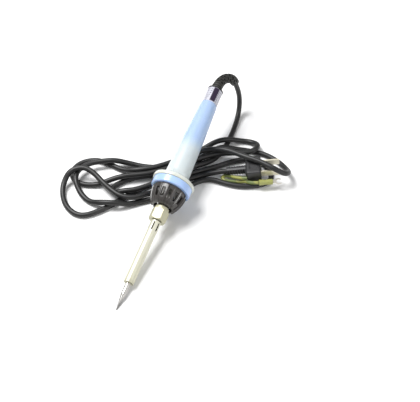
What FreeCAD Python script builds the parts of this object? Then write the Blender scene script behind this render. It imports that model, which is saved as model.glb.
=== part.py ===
import FreeCAD, Part
import math
import os

import Sketcher
from FreeCAD import Placement, Rotation, Vector

# Mains soldering iron for stained glass work, lying on a bench over its own lead.
# Frame: +Z up, Z = 0 is the bench, +Y runs from the tip towards the lead, the iron lies in X = 0.
# Every piece of the iron is drawn about its own Z axis, with Z = 0 at the point of the tip.

DIMENSIONS = {
    # tip
    "tip_point": 0.35, "tip_cone_long": 14.0, "tip_dia": 4.6, "tip_out": 24.7,
    "tip_shank_dia": 6.4, "tip_shank_long": 34.0, "tip_collar_dia": 7.4, "tip_collar_long": 2.0,
    # barrel
    "barrel_dia": 8.8, "barrel_wall": 0.5, "barrel_out": 60.6, "barrel_lip": 0.8,
    "barrel_flange_dia": 10.6, "barrel_flange_long": 0.8, "slot_wide": 1.3, "slot_long": 8.0,
    "slot_from_nut": 2.0, "slot_count": 6,
    "barrel_relief": 0.25, "barrel_relief_long": 0.5,
    # nut and the sleeve it screws on
    "nut_flats": 13.8, "nut_long": 10.8, "nut_neck_long": 3.0, "nut_neck_dia": 12.6, "nut_wall": 1.1,
    "sleeve_wall": 1.1, "sleeve_flange_dia": 24.0, "sleeve_flange_long": 1.2,
    # heater
    "heater_dia": 3.8, "heater_in_tip": 24.0, "heater_bush_long": 7.0, "heater_flange_long": 2.0,
    "heater_wire_dia": 0.9,
    # vented collar
    "collar_long": 17.4, "collar_back_dia": 30.0, "collar_front_dia": 17.6, "collar_wall": 2.0,
    "vent_count": 14, "vent_wide": 2.6, "vent_long": 8.0,
    # blue handle core
    "core_flange_dia": 36.0, "core_flange_long": 6.8, "core_neck_dia": 17.6, "core_rear_dia": 12.0,
    "core_wall": 1.6, "shield_thick": 0.6,
    # grip sleeve
    "grip_long": 89.7, "grip_flange_dia": 38.5, "grip_rim": 3.4, "grip_flare": 9.2, "grip_dia": 21.9,
    "grip_rear_dia": 15.6,
    # rear of the handle
    "tail_long": 16.6, "tail_dia": 14.6, "label_thick": 0.15, "cap_dia": 15.0, "cap_thick": 1.2,
    "cap_bore": 6.4,
    # inside the handle
    "board_long": 34.0, "board_wide": 8.0, "board_thick": 1.6, "post_dia": 1.4, "post_long": 4.0,
    "wire_dia": 1.6, "clamp_long": 6.0,
    "collar_screw_dia": 2.6, "collar_screw_long": 9.0,
    # strain relief and lead
    "boot_dia": 10.2, "boot_end_dia": 8.6, "cord_dia": 5.0, "cord_gap": 0.6,
    # plug
    "relief_long": 18.0, "relief_dia": 7.6, "relief_wide": 9.0, "plug_long": 14.0, "plug_wide": 21.0,
    "plug_thick": 13.0, "plug_round": 3.0, "blade_long": 17.0, "blade_wide": 6.3, "blade_thick": 1.5,
    "blade_gap": 12.7, "blade_root": 6.0, "bridge_thick": 3.0,
    # earth lead
    "earth_dia": 3.2, "earth_sleeve_dia": 5.4, "earth_sleeve_long": 13.0, "fork_long": 9.0,
    "fork_wide": 7.0, "fork_slot": 4.3, "fork_thick": 0.8,
    # clearances
    "slip": 0.05, "air_gap": 0.3, "seam": 0.02,
}

doc = FreeCAD.newDocument("soldering_iron")
sheet = doc.addObject("Spreadsheet::Sheet", "Sheet")


class Size:
    """A length known both as a number and as the formula on the sheet that gives it."""

    def __init__(self, number, formula):
        self.number = number
        self.formula = formula

    def join(self, sign, other, number, swapped=False):
        right = other.formula if isinstance(other, Size) else repr(other)
        pair = (right, self.formula) if swapped else (self.formula, right)
        return Size(number, "(%s %s %s)" % (pair[0], sign, pair[1]))

    def __add__(self, other):
        return self.join("+", other, self.number + float(other))

    def __radd__(self, other):
        return self.join("+", other, float(other) + self.number, True)

    def __sub__(self, other):
        return self.join("-", other, self.number - float(other))

    def __rsub__(self, other):
        return self.join("-", other, float(other) - self.number, True)

    def __mul__(self, other):
        return self.join("*", other, self.number * float(other))

    def __truediv__(self, other):
        return self.join("/", other, self.number / float(other))

    def __float__(self):
        return self.number


class Sizes:
    """The sheet's dimensions by name."""


s = Sizes()
for row, (alias, value) in enumerate(DIMENSIONS.items(), 1):
    sheet.set("A%d" % row, alias)
    sheet.set("B%d" % row, str(value))
    sheet.setAlias("B%d" % row, alias)
    setattr(s, alias, Size(float(value), "Sheet." + alias))
doc.recompute()

# Stations along the axis, from the point of the tip.
barrel_front = s.tip_out
nut_front = barrel_front + s.barrel_out
nut_back = nut_front + s.nut_long
collar_front = nut_back + s.nut_neck_long
collar_back = collar_front + s.collar_long
grip_front = collar_back + s.core_flange_long
grip_back = grip_front + s.grip_long
tail_back = grip_back + s.tail_long
handle_back = tail_back + s.cap_thick

# The iron leans on the point of its tip and on the flange of the grip, which lies on the lead.
reach = math.hypot(float(grip_front), float(s.grip_flange_dia) / 2)
rest_height = float(s.cord_dia) + float(s.cord_gap)
rim_angle = math.atan2(float(s.grip_flange_dia) / 2 - float(s.tip_point), float(grip_front))
LEAN = rim_angle + math.asin(rest_height / reach)
AXIS = Vector(0, math.cos(LEAN), math.sin(LEAN))
span = float(handle_back) * math.cos(LEAN) + float(s.cap_dia) / 2 * math.sin(LEAN)
TIP_AT = Vector(0, -span / 2, float(s.tip_point) * math.cos(LEAN))
ALONG_IRON = Placement(TIP_AT, Rotation(Vector(1, 0, 0), math.degrees(LEAN) - 90))

PARTS = []
FULL_TURN = 360


def keep(piece, label, placement=ALONG_IRON):
    """Names a finished sub-part and puts it in its place."""
    piece.Label = label
    piece.Placement = placement
    PARTS.append(piece)
    return piece


def plane(body, role):
    return next(f for f in body.Origin.OriginFeatures if f.Role == role)


def outline(body, name, points, role="XZ_Plane"):
    """A closed sketch through points whose places are bound to the sheet."""
    sketch = body.newObject("Sketcher::SketchObject", name)
    sketch.AttachmentSupport = [(plane(body, role), "")]
    sketch.MapMode = "FlatFace"
    spots = [Vector(float(across), float(up), 0) for across, up in points]
    for start, end in zip(spots, spots[1:] + spots[:1]):
        sketch.addGeometry(Part.LineSegment(start, end), False)
    count = len(points)
    for index in range(count):
        sketch.addConstraint(Sketcher.Constraint("Coincident", index, 2, (index + 1) % count, 1))
    for index, point in enumerate(points):
        for kind, axis, distance in (("DistanceX", -2, point[0]), ("DistanceY", -1, point[1])):
            if float(distance) == 0:
                sketch.addConstraint(Sketcher.Constraint("PointOnObject", index, 1, axis))
                continue
            number = sketch.addConstraint(Sketcher.Constraint(kind, -1, 1, index, 1, float(distance)))
            if isinstance(distance, Size):
                sketch.setExpression("Constraints[%d]" % number, distance.formula)
    return sketch


def turned_body(name, points):
    """A body turned about its Z axis from an outline of (radius, station) points."""
    body = doc.addObject("PartDesign::Body", name)
    sketch = outline(body, name + "_outline", points)
    turn = body.newObject("PartDesign::Revolution", name + "_turn")
    turn.Profile = sketch
    turn.ReferenceAxis = (sketch, ["V_Axis"])
    turn.Angle = FULL_TURN
    body.Tip = turn
    return body


def cut_all_round(body, name, points, count, reach_out):
    """Cuts the same opening through the wall at even steps round the axis."""
    doc.recompute()
    solid_before = body.Shape.Volume
    sketch = outline(body, name + "_outline", points, "YZ_Plane")
    pocket = body.newObject("PartDesign::Pocket", name)
    pocket.Profile = sketch
    pocket.Length = float(reach_out)
    pocket.setExpression("Length", reach_out.formula)
    pocket.Reversed = True
    doc.recompute()
    if body.Shape.Volume > solid_before - 0.01:
        raise ValueError(name + " cuts nothing")
    ring = body.newObject("PartDesign::PolarPattern", name + "_ring")
    ring.Originals = [pocket]
    ring.Axis = (plane(body, "Z_Axis"), [""])
    ring.Angle = FULL_TURN
    ring.Occurrences = int(float(count))
    ring.setExpression("Occurrences", count.formula)
    body.Tip = ring
    doc.recompute()


def tool(kind, sizes, base=Vector(), turn=Rotation()):
    """A primitive with its sizes bound to the sheet, used to build another piece."""
    solid = doc.addObject(kind, "tool")
    for size, length in sizes.items():
        setattr(solid, size, float(length) if size != "Polygon" else length)
        if isinstance(length, Size):
            solid.setExpression(size, length.formula)
    solid.Placement = Placement(base, turn)
    return solid


def combine(kind, name, *pieces):
    """A boolean of pieces: Part::Cut and Part::Common take two, Part::MultiFuse takes many."""
    joined = doc.addObject(kind, name)
    if kind == "Part::MultiFuse":
        joined.Shapes = list(pieces)
    else:
        joined.Base, joined.Tool = pieces
    return joined


# ---------------------------------------------------------------- tip, barrel and nut

tip_collar_back = barrel_front + s.tip_shank_long
heater_front = tip_collar_back - s.heater_in_tip
tip_bore = s.heater_dia / 2 + s.slip
shank_front = barrel_front + s.barrel_lip + s.slip
keep(turned_body("tip_body", [
    (0, 0),
    (s.tip_point, 0),
    (s.tip_dia / 2 - 0.3, s.tip_cone_long - 1.5),
    (s.tip_dia / 2, s.tip_cone_long),
    (s.tip_dia / 2, shank_front),
    (s.tip_shank_dia / 2, shank_front),
    (s.tip_shank_dia / 2, tip_collar_back - s.tip_collar_long),
    (s.tip_collar_dia / 2, tip_collar_back - s.tip_collar_long),
    (s.tip_collar_dia / 2, tip_collar_back),
    (tip_bore, tip_collar_back),
    (tip_bore, heater_front - s.air_gap),
    (0, heater_front - s.air_gap),
]), "tip")

barrel_bore = s.barrel_dia / 2 - s.barrel_wall
lip_bore = s.tip_dia / 2 + s.slip
flange_front = nut_front + s.nut_wall + s.slip
flange_back = flange_front + s.barrel_flange_long
barrel_body = turned_body("barrel_body", [
    (lip_bore, barrel_front),
    (s.barrel_dia / 2 - 0.2, barrel_front),
    (s.barrel_dia / 2, barrel_front + 0.2),
    (s.barrel_dia / 2, nut_front - s.barrel_relief_long),
    (s.barrel_dia / 2 - s.barrel_relief, nut_front - s.barrel_relief_long),
    (s.barrel_dia / 2 - s.barrel_relief, flange_front),
    (s.barrel_flange_dia / 2, flange_front),
    (s.barrel_flange_dia / 2, flange_back),
    (barrel_bore, flange_back),
    (barrel_bore, barrel_front + s.barrel_lip),
    (lip_bore, barrel_front + s.barrel_lip),
])
SLOT_TURN = 30
slot_back = nut_front - s.slot_from_nut
cut_all_round(barrel_body, "barrel_slot", [
    (s.slot_wide * -0.5, slot_back - s.slot_long),
    (s.slot_wide / 2, slot_back - s.slot_long),
    (s.slot_wide / 2, slot_back),
    (s.slot_wide * -0.5, slot_back),
], s.slot_count, s.barrel_dia)
keep(barrel_body, "barrel", ALONG_IRON * Placement(Vector(), Rotation(Vector(0, 0, 1), SLOT_TURN)))

nut_bore = s.barrel_flange_dia / 2 + s.slip
corner = s.nut_flats / math.sqrt(3)
chamfer = corner - s.nut_flats / 2
nut_envelope = turned_body("nut_envelope", [
    (s.barrel_dia / 2 + s.slip, nut_front),
    (s.nut_flats / 2, nut_front),
    (corner, nut_front + chamfer),
    (corner, nut_back - chamfer),
    (s.nut_flats / 2, nut_back),
    (nut_bore, nut_back),
    (nut_bore, nut_front + s.nut_wall),
    (s.barrel_dia / 2 + s.slip, nut_front + s.nut_wall),
])
nut_prism = tool("Part::Prism", {"Polygon": 6, "Circumradius": corner, "Height": nut_back + 1})
nut_hex = combine("Part::Common", "nut_hex", nut_envelope, nut_prism)
nut_neck = turned_body("nut_neck", [
    (nut_bore, nut_back - 1),
    (s.nut_neck_dia / 2, nut_back - 1),
    (s.nut_neck_dia / 2, collar_front - s.air_gap),
    (nut_bore, collar_front - s.air_gap),
])
keep(combine("Part::MultiFuse", "nut_joined", nut_hex, nut_neck), "barrel_nut")

# ---------------------------------------------------------------- heater and its housing

sleeve_outer = nut_bore - s.slip
sleeve_inner = sleeve_outer - s.sleeve_wall
sleeve_front = flange_back + s.slip
sleeve_back = collar_back - s.shield_thick
sleeve_body = turned_body("sleeve_body", [
    (sleeve_inner, sleeve_front),
    (sleeve_outer, sleeve_front),
    (sleeve_outer, sleeve_back - s.sleeve_flange_long),
    (s.sleeve_flange_dia / 2, sleeve_back - s.sleeve_flange_long),
    (s.sleeve_flange_dia / 2, sleeve_back),
    (sleeve_inner, sleeve_back),
])

heater_bush_front = sleeve_back - s.heater_bush_long
keep(turned_body("heater_bush_body", [
    (s.heater_dia / 2, heater_bush_front),
    (sleeve_inner - s.slip, heater_bush_front),
    (sleeve_inner - s.slip, sleeve_back),
    (s.heater_dia / 2, sleeve_back),
]), "heater_bush")

heater_back = sleeve_back + s.heater_flange_long
keep(turned_body("heater_body", [
    (0, heater_front),
    (s.heater_dia / 2 - 0.3, heater_front),
    (s.heater_dia / 2, heater_front + 0.3),
    (s.heater_dia / 2, heater_back),
    (0, heater_back),
]), "heater_rod")

SPRING_WIRE = 0.6
SPRING_PITCH = 3.2
SPRING_GAP = 0.4
spring_radius = float(s.heater_dia) / 2 + SPRING_GAP + SPRING_WIRE / 2
spring_front = tip_collar_back + 1


def coil(radius, wire, pitch, front, back):
    """A round wire wound evenly about the axis between two stations."""
    start = float(front) + wire / 2
    path = Part.makeHelix(pitch, float(back) - float(front) - wire, radius)
    path.translate(Vector(0, 0, start))
    ring = Part.makeCircle(wire / 2, Vector(radius, 0, start), Vector(0, 1, pitch / (2 * math.pi * radius)))
    return Part.Wire(path.Edges).makePipeShell([Part.Wire([ring])], True, True)


earth_spring = doc.addObject("Part::Feature", "earth_spring_wire")
earth_spring.Shape = coil(spring_radius, SPRING_WIRE, SPRING_PITCH, spring_front, heater_bush_front)
keep(earth_spring, "earth_spring")

# ---------------------------------------------------------------- vented collar, shield and core

collar_front_bore = s.nut_neck_dia / 2
dome = (s.collar_back_dia - s.collar_front_dia) / 2
collar_body = turned_body("collar_body", [
    (collar_front_bore, collar_front),
    (s.collar_front_dia / 2, collar_front),
    (s.collar_front_dia / 2 + dome * 0.45, collar_front + s.collar_long * 0.16),
    (s.collar_front_dia / 2 + dome * 0.80, collar_front + s.collar_long * 0.42),
    (s.collar_back_dia / 2, collar_front + s.collar_long * 0.80),
    (s.collar_back_dia / 2, collar_back),
    (s.collar_back_dia / 2 - s.collar_wall, collar_back),
    (s.collar_back_dia / 2 - s.collar_wall, collar_front + s.collar_long * 0.80),
    (s.collar_front_dia / 2 + dome * 0.80 - s.collar_wall, collar_front + s.collar_long * 0.46),
    (s.collar_front_dia / 2 + dome * 0.45 - s.collar_wall, collar_front + s.collar_wall),
    (collar_front_bore, collar_front + s.collar_wall),
])
vent_front = collar_front + s.collar_long * 0.32
cut_all_round(collar_body, "collar_vent", [
    (s.vent_wide * -0.5, vent_front),
    (s.vent_wide / 2, vent_front),
    (s.vent_wide / 2, vent_front + s.vent_long),
    (s.vent_wide * -0.5, vent_front + s.vent_long),
], s.vent_count, s.collar_back_dia)
keep(collar_body, "vented_collar")

shield_bore = s.heater_dia / 2 + s.air_gap
shield_body = turned_body("shield_body", [
    (shield_bore, sleeve_back),
    (s.collar_back_dia / 2 - s.collar_wall - s.slip, sleeve_back),
    (s.collar_back_dia / 2 - s.collar_wall - s.slip, collar_back),
    (shield_bore, collar_back),
])

core_bore_front = s.core_neck_dia / 2 - s.core_wall
core_bore_back = s.core_rear_dia / 2 - s.core_wall
core_body = turned_body("core_body", [
    (core_bore_front, collar_back),
    (s.core_flange_dia / 2 - 0.8, collar_back),
    (s.core_flange_dia / 2, collar_back + 0.8),
    (s.core_flange_dia / 2, grip_front - s.slip),
    (s.core_neck_dia / 2, grip_front - s.slip),
    (s.core_rear_dia / 2, grip_back - s.slip),
    (s.tail_dia / 2 - s.label_thick, grip_back - s.slip),
    (s.tail_dia / 2 - s.label_thick, tail_back),
    (core_bore_back, tail_back),
    (core_bore_back, grip_back),
])

grip_at = grip_front + s.grip_rim
grip_plain = grip_at + s.grip_flare
neck_gap = s.core_neck_dia / 2 + s.slip
rear_gap = s.core_rear_dia / 2 + s.slip
flare = s.grip_flange_dia / 2 - s.grip_dia / 2
keep(turned_body("grip_body", [
    (neck_gap, grip_front),
    (s.grip_flange_dia / 2 - 0.5, grip_front),
    (s.grip_flange_dia / 2, grip_front + 0.5),
    (s.grip_flange_dia / 2, grip_at - 0.6),
    (s.grip_flange_dia / 2 - 0.8, grip_at),
    (s.grip_dia / 2 + flare * 0.42, grip_at + s.grip_flare * 0.22),
    (s.grip_dia / 2 + flare * 0.14, grip_at + s.grip_flare * 0.55),
    (s.grip_dia / 2, grip_plain),
    (s.grip_rear_dia / 2 + 0.3, grip_back - 1.2),
    (s.grip_rear_dia / 2, grip_back - s.slip * 2),
    (rear_gap, grip_back - s.slip * 2),
]), "grip_sleeve")

label_margin = 0.4
keep(turned_body("label_body", [
    (s.tail_dia / 2 - s.label_thick, grip_back + label_margin),
    (s.tail_dia / 2, grip_back + label_margin),
    (s.tail_dia / 2, tail_back - label_margin),
    (s.tail_dia / 2 - s.label_thick, tail_back - label_margin),
]), "rating_label")

keep(turned_body("cap_body", [
    (s.cap_bore / 2, tail_back),
    (s.cap_dia / 2, tail_back),
    (s.cap_dia / 2, handle_back - 0.3),
    (s.cap_dia / 2 - 0.3, handle_back),
    (s.cap_bore / 2, handle_back),
]), "rear_cap")

# ---------------------------------------------------------------- screws that hold the front end

SCREW_COUNT = 3
screw_ring = (core_bore_front + s.sleeve_flange_dia / 2) / 2
screw_seat = sleeve_back - s.sleeve_flange_long


def round_screw(name, radius, head, long, head_long):
    """A pan-head screw along +Z, with the top of its head in front of Z = 0."""
    return turned_body(name, [
        (0, head_long * -1),
        (head - 0.4, head_long * -1),
        (head, head_long * -0.6),
        (head, 0),
        (radius, 0),
        (radius, long - 0.4),
        (radius - 0.4, long),
        (0, long),
    ])


def group_of(piece, name, places):
    """One node of identical solids, set at several places."""
    doc.recompute()
    group = doc.addObject("Part::Feature", name)
    group.Shape = Part.makeCompound([piece.Shape.transformed(place.toMatrix()) for place in places])
    return group


def drilled(piece, name, places, radius, long):
    """The piece with the same round hole drilled from each place, along its +Z."""
    drills = []
    for place in places:
        drill = tool("Part::Cylinder", {"Radius": radius, "Height": long})
        drill.Placement = place
        drills.append(drill)
    return combine("Part::Cut", name, piece, combine("Part::MultiFuse", name + "_drills", *drills))


def ring_places(station):
    """Places evenly round the axis, at one station."""
    places = []
    for index in range(SCREW_COUNT):
        turn = math.radians(FULL_TURN / SCREW_COUNT * index + 90)
        spot = Vector(float(screw_ring) * math.cos(turn), float(screw_ring) * math.sin(turn), float(station))
        places.append(Placement(spot, Rotation()))
    return places


screw_hole = s.collar_screw_dia / 2 + s.slip
keep(drilled(sleeve_body, "sleeve_drilled", ring_places(screw_seat), screw_hole,
             s.sleeve_flange_long), "threaded_sleeve")
keep(drilled(shield_body, "shield_drilled", ring_places(sleeve_back), screw_hole,
             s.shield_thick), "heat_shield")
keep(drilled(core_body, "core_drilled", ring_places(collar_back), s.collar_screw_dia / 2,
             s.core_flange_long - 1), "handle_core")
front_screw = round_screw("front_screw", s.collar_screw_dia / 2, s.collar_screw_dia * 0.9,
                          s.collar_screw_long - s.sleeve_flange_long - 1, s.collar_screw_dia * 0.5)
keep(group_of(front_screw, "front_screws", ring_places(screw_seat)), "front_screws")

# ---------------------------------------------------------------- terminal board, wires and clamp

board_front = grip_front + 26.0
board_back = board_front + s.board_long
POST_SIDES = {"live": 1, "neutral": -1, "earth": 0}
post_across = s.board_wide / 2 - 1.6
post_front = board_front + 6.0
earth_post = board_front + 16.0

board = tool("Part::Box", {"Length": s.board_wide, "Width": s.board_thick, "Height": s.board_long},
             Vector(-float(s.board_wide) / 2, -float(s.board_thick) / 2, float(board_front)))
post_spots = {name: Vector(float(post_across) * side, -float(s.board_thick) / 2,
                           float(earth_post if side == 0 else post_front))
              for name, side in POST_SIDES.items()}
TO_SIDE = Rotation(Vector(1, 0, 0), -90)
post_places = [Placement(spot, TO_SIDE) for spot in post_spots.values()]
keep(drilled(board, "board_drilled", post_places, s.post_dia / 2, s.board_thick), "terminal_board")
post = turned_body("post_body", [
    (0, 0),
    (s.post_dia / 2, 0),
    (s.post_dia / 2, s.board_thick + s.post_long),
    (0, s.board_thick + s.post_long),
])
keep(group_of(post, "posts", post_places), "terminal_posts")


def unit(vector):
    return Vector(vector).normalize()


def round_path(points):
    """Straight runs joined by tangent arcs, each as large as its two runs allow, and the radii."""
    edges = []
    radii = []
    here = points[0]
    for before, corner_point, after in zip(points, points[1:], points[2:]):
        arriving = unit(corner_point - before)
        leaving = unit(after - corner_point)
        half = arriving.getAngle(leaving) / 2
        setback = 0.45 * min((corner_point - before).Length, (after - corner_point).Length)
        radius = setback / math.tan(half)
        start = corner_point - arriving * setback
        end = corner_point + leaving * setback
        inward = unit(leaving - arriving)
        middle = corner_point + inward * (radius / math.cos(half) - radius)
        edges.append(Part.LineSegment(here, start).toShape())
        edges.append(Part.Arc(start, middle, end).toShape())
        radii.append(radius)
        here = end
    edges.append(Part.LineSegment(here, points[-1]).toShape())
    return Part.Wire(edges), radii


def round_tube(path, diameter, end_diameter=None):
    """A round solid along a path, tapering evenly if a second diameter is given."""
    profiles = []
    for edge, at_end, size in ((path.Edges[0], False, diameter), (path.Edges[-1], True, end_diameter)):
        if size is None:
            continue
        spot = edge.LastParameter if at_end else edge.FirstParameter
        ring = Part.makeCircle(size / 2, edge.valueAt(spot), edge.tangentAt(spot))
        profiles.append(Part.Wire([ring]))
    tube = path.makePipeShell(profiles, True, False)
    return tube if tube.Volume > 0 else tube.reversed()


def wire_piece(name, label, points, diameter, placement=ALONG_IRON):
    path, _ = round_path(points)
    piece = doc.addObject("Part::Feature", name)
    piece.Shape = round_tube(path, float(diameter))
    return keep(piece, label, placement)


heater_wire_across = float(s.heater_dia) / 4
top = float(s.board_thick) / 2 + 1.2
for name in ("live", "neutral"):
    side = POST_SIDES[name]
    wire_piece("heater_wire_" + name, "heater_wire_" + name, [
        Vector(side * heater_wire_across, 0, float(heater_back)),
        Vector(side * (heater_wire_across + 0.4), 0.2, float(heater_back) + 10),
        Vector(side * float(post_across), top, float(board_front) - 6),
        Vector(side * (float(post_across) + 0.1), top + 0.2, float(post_front) - float(s.post_dia) / 2),
    ], s.heater_wire_dia)

clamp_front = tail_back - s.clamp_long - 3.0
cord_tail_front = clamp_front - 4.0
cord_hole = s.cord_dia / 2
wire_across = float(s.cord_dia) / 2 - float(s.wire_dia) / 2 - 0.1
high = float(s.board_thick) / 2 + 2.6
for name, side in POST_SIDES.items():
    post_back = float(post_spots[name].z) + float(s.post_dia) / 2
    low = 1.3 if side == 0 else -0.5
    wire_piece("lead_wire_" + name, "lead_wire_" + name, [
        Vector(float(post_spots[name].x), high, post_back),
        Vector(float(post_spots[name].x) * 1.02, high - 0.1, post_back + 8),
        Vector(side * wire_across * 0.95, high - 0.5, float(board_back) + 6),
        Vector(side * wire_across * 0.9, low, float(cord_tail_front - s.air_gap)),
    ], s.wire_dia)

keep(turned_body("cord_tail_body", [
    (0, cord_tail_front),
    (cord_hole, cord_tail_front),
    (cord_hole, handle_back),
    (0, handle_back),
]), "cord_tail")

clamp_radius = core_bore_back - s.slip
keep(turned_body("clamp_body", [
    (cord_hole, clamp_front),
    (clamp_radius, clamp_front),
    (clamp_radius, clamp_front + s.clamp_long),
    (cord_hole, clamp_front + s.clamp_long),
]), "cord_clamp")

# ---------------------------------------------------------------- strain relief and mains lead

LEAD = [
    Vector(10.5, 137, 37.5), Vector(13.5, 140, 26), Vector(16, 138, 13), Vector(18, 129, 4),
    Vector(20, 113, 2.5), Vector(21, 94, 2.5), Vector(19.5, 76, 2.5), Vector(15, 64, 2.5),
    Vector(8, 54.5, 5), Vector(-1, 43.5, 7.5), Vector(-12, 29, 8), Vector(-24, 13, 8),
    Vector(-35, 2, 8), Vector(-46, -3.5, 7.8), Vector(-54.5, -6.5, 3.5), Vector(-58.5, 1.5, 2.5),
    Vector(-52, 11.5, 2.5), Vector(-42, 21, 2.5), Vector(-30, 27.5, 2.5), Vector(-17, 38, 2.5),
    Vector(-5, 50, 2.5), Vector(4, 62, 2.5), Vector(11, 72.5, 6.5), Vector(20, 79.5, 8.5),
    Vector(31, 84, 5), Vector(45, 89, 2.5), Vector(60, 90, 2.5), Vector(74, 85.5, 2.5),
    Vector(84, 77.5, 5), Vector(89, 69, 11), Vector(86.5, 61, 17), Vector(76, 60.5, 21),
    Vector(62, 64, 21), Vector(46, 65, 20.5), Vector(30, 69.5, 17.5), Vector(17, 69.5, 14.5),
    Vector(5, 66, 11.5), Vector(-6, 58, 8.5), Vector(-17, 45, 8), Vector(-30, 32.5, 8),
    Vector(-44, 24.5, 7.5), Vector(-58, 23, 2.5), Vector(-72, 25.5, 2.5), Vector(-86, 26.5, 2.5),
    Vector(-98, 19, 2.5), Vector(-102.5, 7.5, 2.5), Vector(-98, -3, 2.5), Vector(-86, -6.5, 2.5),
    Vector(-72, -1.5, 2.5), Vector(-62, 6, 6.5), Vector(-53, 12.5, 8), Vector(-43, 18, 8),
    Vector(-31, 24.5, 8), Vector(-17, 37, 8), Vector(-3, 51, 8), Vector(8, 61.5, 8),
    Vector(19, 70.5, 8), Vector(32, 76, 8), Vector(44, 81, 8), Vector(50.5, 88, 8.3),
    Vector(50, 96.5, 6), Vector(42, 100.5, 2.5), Vector(31, 98, 2.5), Vector(21, 90.5, 8.5),
    Vector(11, 84, 7.8), Vector(2, 75.5, 2.5), Vector(-6, 64, 2.5), Vector(-15, 51, 2.5),
    Vector(-26, 39, 2.5), Vector(-42, 34, 2.5), Vector(-56, 32, 4), Vector(-68, 27.5, 8.3),
    Vector(-80, 21.5, 8), Vector(-90, 14, 8), Vector(-95, 3, 8), Vector(-91.5, -8, 8),
    Vector(-82, -17, 3.5), Vector(-70, -22.5, 2.5), Vector(-58, -22, 7.5), Vector(-46, -18.5, 8),
    Vector(-36, -12.5, 3.5), Vector(-28, -5.5, 2.5), Vector(-18.5, 2, 2.5), Vector(-6, 14, 2.5),
    Vector(6, 27, 2.5), Vector(14, 38, 2.5), Vector(24, 43, 2.5), Vector(35, 42.5, 2.5),
    Vector(47, 43.5, 2.5), Vector(58, 47, 2.5), Vector(69, 53.5, 2.5), Vector(75, 62, 2.5),
    Vector(71, 71, 2.5), Vector(62, 77.5, 2.5), Vector(50, 79.5, 2.5), Vector(39, 75, 2.5),
    Vector(29, 66, 2.5), Vector(19, 56.5, 2.5), Vector(8, 47.5, 2.5), Vector(-3, 38, 2.5),
    Vector(-16, 27, 2.5), Vector(-28, 16, 2.5), Vector(-38, 3, 2.5), Vector(-46, -11, 2.5),
    Vector(-56, -27, 2.5), Vector(-70, -40.5, 2.5), Vector(-86, -36, 2.5), Vector(-97, -24, 2.5),
    Vector(-101.5, -12, 5.5), Vector(-99, -1.5, 12.5), Vector(-88, 5.5, 14), Vector(-77, 3.5, 12),
    Vector(-66, -2, 9.5), Vector(-55, -7.5, 10), Vector(-44, -10.5, 9), Vector(-33, -7.5, 8),
    Vector(-24, 1.5, 7), Vector(-17, 13, 2.5), Vector(-8, 25, 2.5), Vector(3, 35.5, 2.5),
    Vector(13.5, 44.5, 2.5), Vector(23.6, 49.75, 5.3), Vector(33.6, 53.4, 7),
]
SPANS = 6

BOOT_STRAIGHT = 13
BOOT_LAST = 8
boot_root = TIP_AT + AXIS * float(handle_back + s.seam)
into_lead = unit(LEAD[1] - LEAD[0])
boot_end = LEAD[0] - into_lead * float(s.seam)
BOOT = [
    boot_root,
    boot_root + AXIS * BOOT_STRAIGHT,
    boot_end - into_lead * BOOT_LAST,
    boot_end,
]
boot_path, _ = round_path(BOOT)
boot = doc.addObject("Part::Feature", "boot")
boot.Shape = round_tube(boot_path, float(s.boot_dia), float(s.boot_end_dia))
keep(boot, "strain_relief", Placement())

lead_path, lead_radii = round_path(LEAD)
print("mains lead: %.0f mm, smallest radii %s" % (
    lead_path.Length, [round(r, 1) for r in sorted(lead_radii)[:8]]))
lead_section = math.pi * float(s.cord_dia) ** 2 / 4
edges = lead_path.Edges
for index in range(SPANS):
    first = len(edges) * index // SPANS
    last = len(edges) * (index + 1) // SPANS
    path = Part.Wire(edges[first:last])
    span_piece = doc.addObject("Part::Feature", "lead_span")
    span_piece.Shape = round_tube(path, float(s.cord_dia))
    expected = lead_section * path.Length
    if abs(span_piece.Shape.Volume / expected - 1) > 0.01:
        raise ValueError("lead span %d has the wrong volume" % (index + 1))
    keep(span_piece, "mains_lead_%d" % (index + 1), Placement())

# ---------------------------------------------------------------- plug

PLUG_TURN = 20
PLUG_RISE = 9
relief_rear = LEAD[-1]
PLUG_LEVEL = Placement(
    relief_rear, Rotation(Vector(0, 0, 1), PLUG_TURN) * Rotation(Vector(0, 1, 0), 90 - PLUG_RISE))
# In the plug's own frame +Z points along the blades, +Y across them and +X down.

relief_back = doc.addObject("Part::Feature", "plug_relief")
relief_sections = [
    (float(s.seam), s.cord_dia + 1.6, s.cord_dia + 1.6),
    (float(s.relief_long), s.relief_wide, s.relief_dia),
]


def rounded_section(wide, thick, station, corner_round):
    """A flat rounded rectangle across the plug, wide along Y and thick along X."""
    block = Part.makePlane(float(thick), float(wide),
                           Vector(-float(thick) / 2, -float(wide) / 2, float(station)))
    return Part.Wire(block.makeOffset2D(-corner_round).makeOffset2D(corner_round, 0).Edges)


relief_rings = [rounded_section(wide, thick, station, min(float(wide), float(thick)) / 2 - 0.4)
                for station, wide, thick in relief_sections]
relief_back.Shape = Part.makeLoft(relief_rings, True)
keep(relief_back, "plug_strain_relief", PLUG_LEVEL)

plug_front = s.relief_long + s.plug_long
blade_front = plug_front + s.blade_long
shell = doc.addObject("Part::Feature", "plug_shell")
shell_rings = [
    rounded_section(float(s.plug_wide) * 0.74, float(s.plug_thick) * 0.80, s.relief_long, 3.0),
    rounded_section(s.plug_wide, s.plug_thick, float(s.relief_long) + 6, float(s.plug_round)),
    rounded_section(s.plug_wide, s.plug_thick, plug_front, float(s.plug_round)),
]
shell.Shape = Part.makeLoft(shell_rings, True, True)
BLADE_SIDES = (-1, 1)


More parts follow.
